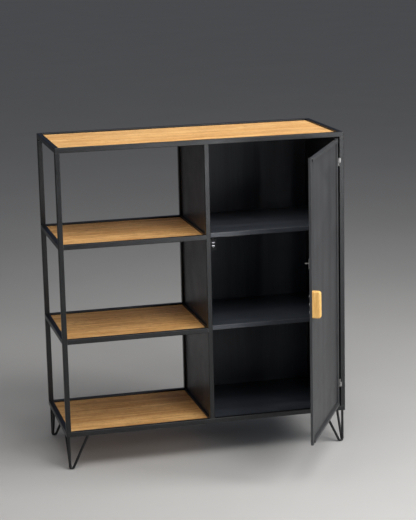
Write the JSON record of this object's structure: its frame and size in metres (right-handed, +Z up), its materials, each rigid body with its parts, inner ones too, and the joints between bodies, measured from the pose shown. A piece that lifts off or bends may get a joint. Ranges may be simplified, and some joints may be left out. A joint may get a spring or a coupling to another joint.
{
  "type": "sideboard buffet",
  "caption": "Steel-framed sideboard on hairpin legs with an open bay of wooden shelves beside a steel cabinet closed by a side-hung door.",
  "frame": {"origin": "on the floor, midway across the width, in the plane of the front posts, which is also the middle of the footprint with the door open as stored", "axes": "+X to the viewer's right when facing the door, +Y from front to back, +Z up"},
  "size_m": [0.9, 0.7267, 1],
  "materials": {
    "frame_paint": "black powder coat over ground steel tube, satin, slightly worn at the edges",
    "sheet_paint": "black powder coat on flat sheet, satin",
    "leg_paint": "black powder coat on round rod",
    "oak_panel": "light honey lacquered wood, straight grain",
    "oak_handle": "light lacquered wood, rounded and sanded",
    "roller_steel": "polished",
    "spring_steel": "drawn wire",
    "hinge_steel": "bare turned steel, worn bright",
    "screw_steel": "zinc plated",
    "catch_black": "blackened",
    "strike_steel": "bright plated"
  },
  "bodies": {
    "carcass": {"back_sheet": "sheet_paint", "base_crossbar": "frame_paint", "base_panel": "oak_panel", "base_rail_back": "frame_paint", "base_rail_front": "frame_paint", "base_rail_left": "frame_paint", "base_rail_right": "frame_paint", "cabinet_floor": "sheet_paint", "cabinet_shelf_lower": "sheet_paint", "cabinet_shelf_upper": "sheet_paint", "catch_adjusters": "screw_steel", "catch_housing": "catch_black", "catch_spring_lower": "spring_steel", "catch_spring_upper": "spring_steel", "catch_tab": "frame_paint", "divider_sheet": "sheet_paint", "frame_screws": "screw_steel", "hinge_pins": "hinge_steel", "hinge_post_knuckle_bottom": "hinge_steel", "hinge_post_knuckle_top": "hinge_steel", "leg_back_left": "leg_paint", "leg_back_right": "leg_paint", "leg_front_left": "leg_paint", "leg_front_right": "leg_paint", "lower_shelf_panel": "oak_panel", "lower_shelf_rail_back": "frame_paint", "lower_shelf_rail_front": "frame_paint", "lower_shelf_rail_left": "frame_paint", "lower_shelf_rail_right": "frame_paint", "panel_tabs": "frame_paint", "post_back_left": "frame_paint", "post_back_middle": "frame_paint", "post_back_right": "frame_paint", "post_front_left": "frame_paint", "post_front_middle": "frame_paint", "post_front_right": "frame_paint", "side_sheet": "sheet_paint", "top_crossbar": "frame_paint", "top_panel": "oak_panel", "top_rail_back": "frame_paint", "top_rail_front": "frame_paint", "top_rail_left": "frame_paint", "top_rail_right": "frame_paint", "upper_shelf_panel": "oak_panel", "upper_shelf_rail_back": "frame_paint", "upper_shelf_rail_front": "frame_paint", "upper_shelf_rail_left": "frame_paint", "upper_shelf_rail_right": "frame_paint"},
    "door": {"door_panel": "sheet_paint", "door_rail_bottom": "frame_paint", "door_rail_top": "frame_paint", "door_stile_hinge": "frame_paint", "door_stile_latch": "frame_paint", "handle": "oak_handle", "handle_screws": "screw_steel", "hinge_door_knuckle_bottom": "hinge_steel", "hinge_door_knuckle_top": "hinge_steel", "strike": "strike_steel"},
    "catch_roller_upper_body": {"catch_roller_upper": "roller_steel"},
    "catch_roller_lower_body": {"catch_roller_lower": "roller_steel"}
  },
  "joints": [
    {"name": "door_hinge", "type": "hinge", "parent": "carcass", "child": "door", "pos_m": [0.432, -0.001, 0.5525], "axis": [0, 0, 1], "range_deg": [-60.4, 109.6]},
    {"name": "catch_roller_upper_slide", "type": "slide", "parent": "carcass", "child": "catch_roller_upper_body", "axis": [0, 0, 1], "range_m": [0, 0.0015], "stiffness_N_per_m": 1500, "springref_m": -0.002, "deforming": ["catch_spring_upper"]},
    {"name": "catch_roller_lower_slide", "type": "slide", "parent": "carcass", "child": "catch_roller_lower_body", "axis": [0, 0, -1], "range_m": [0, 0.0015], "stiffness_N_per_m": 1500, "springref_m": -0.002, "deforming": ["catch_spring_lower"]}
  ]
}
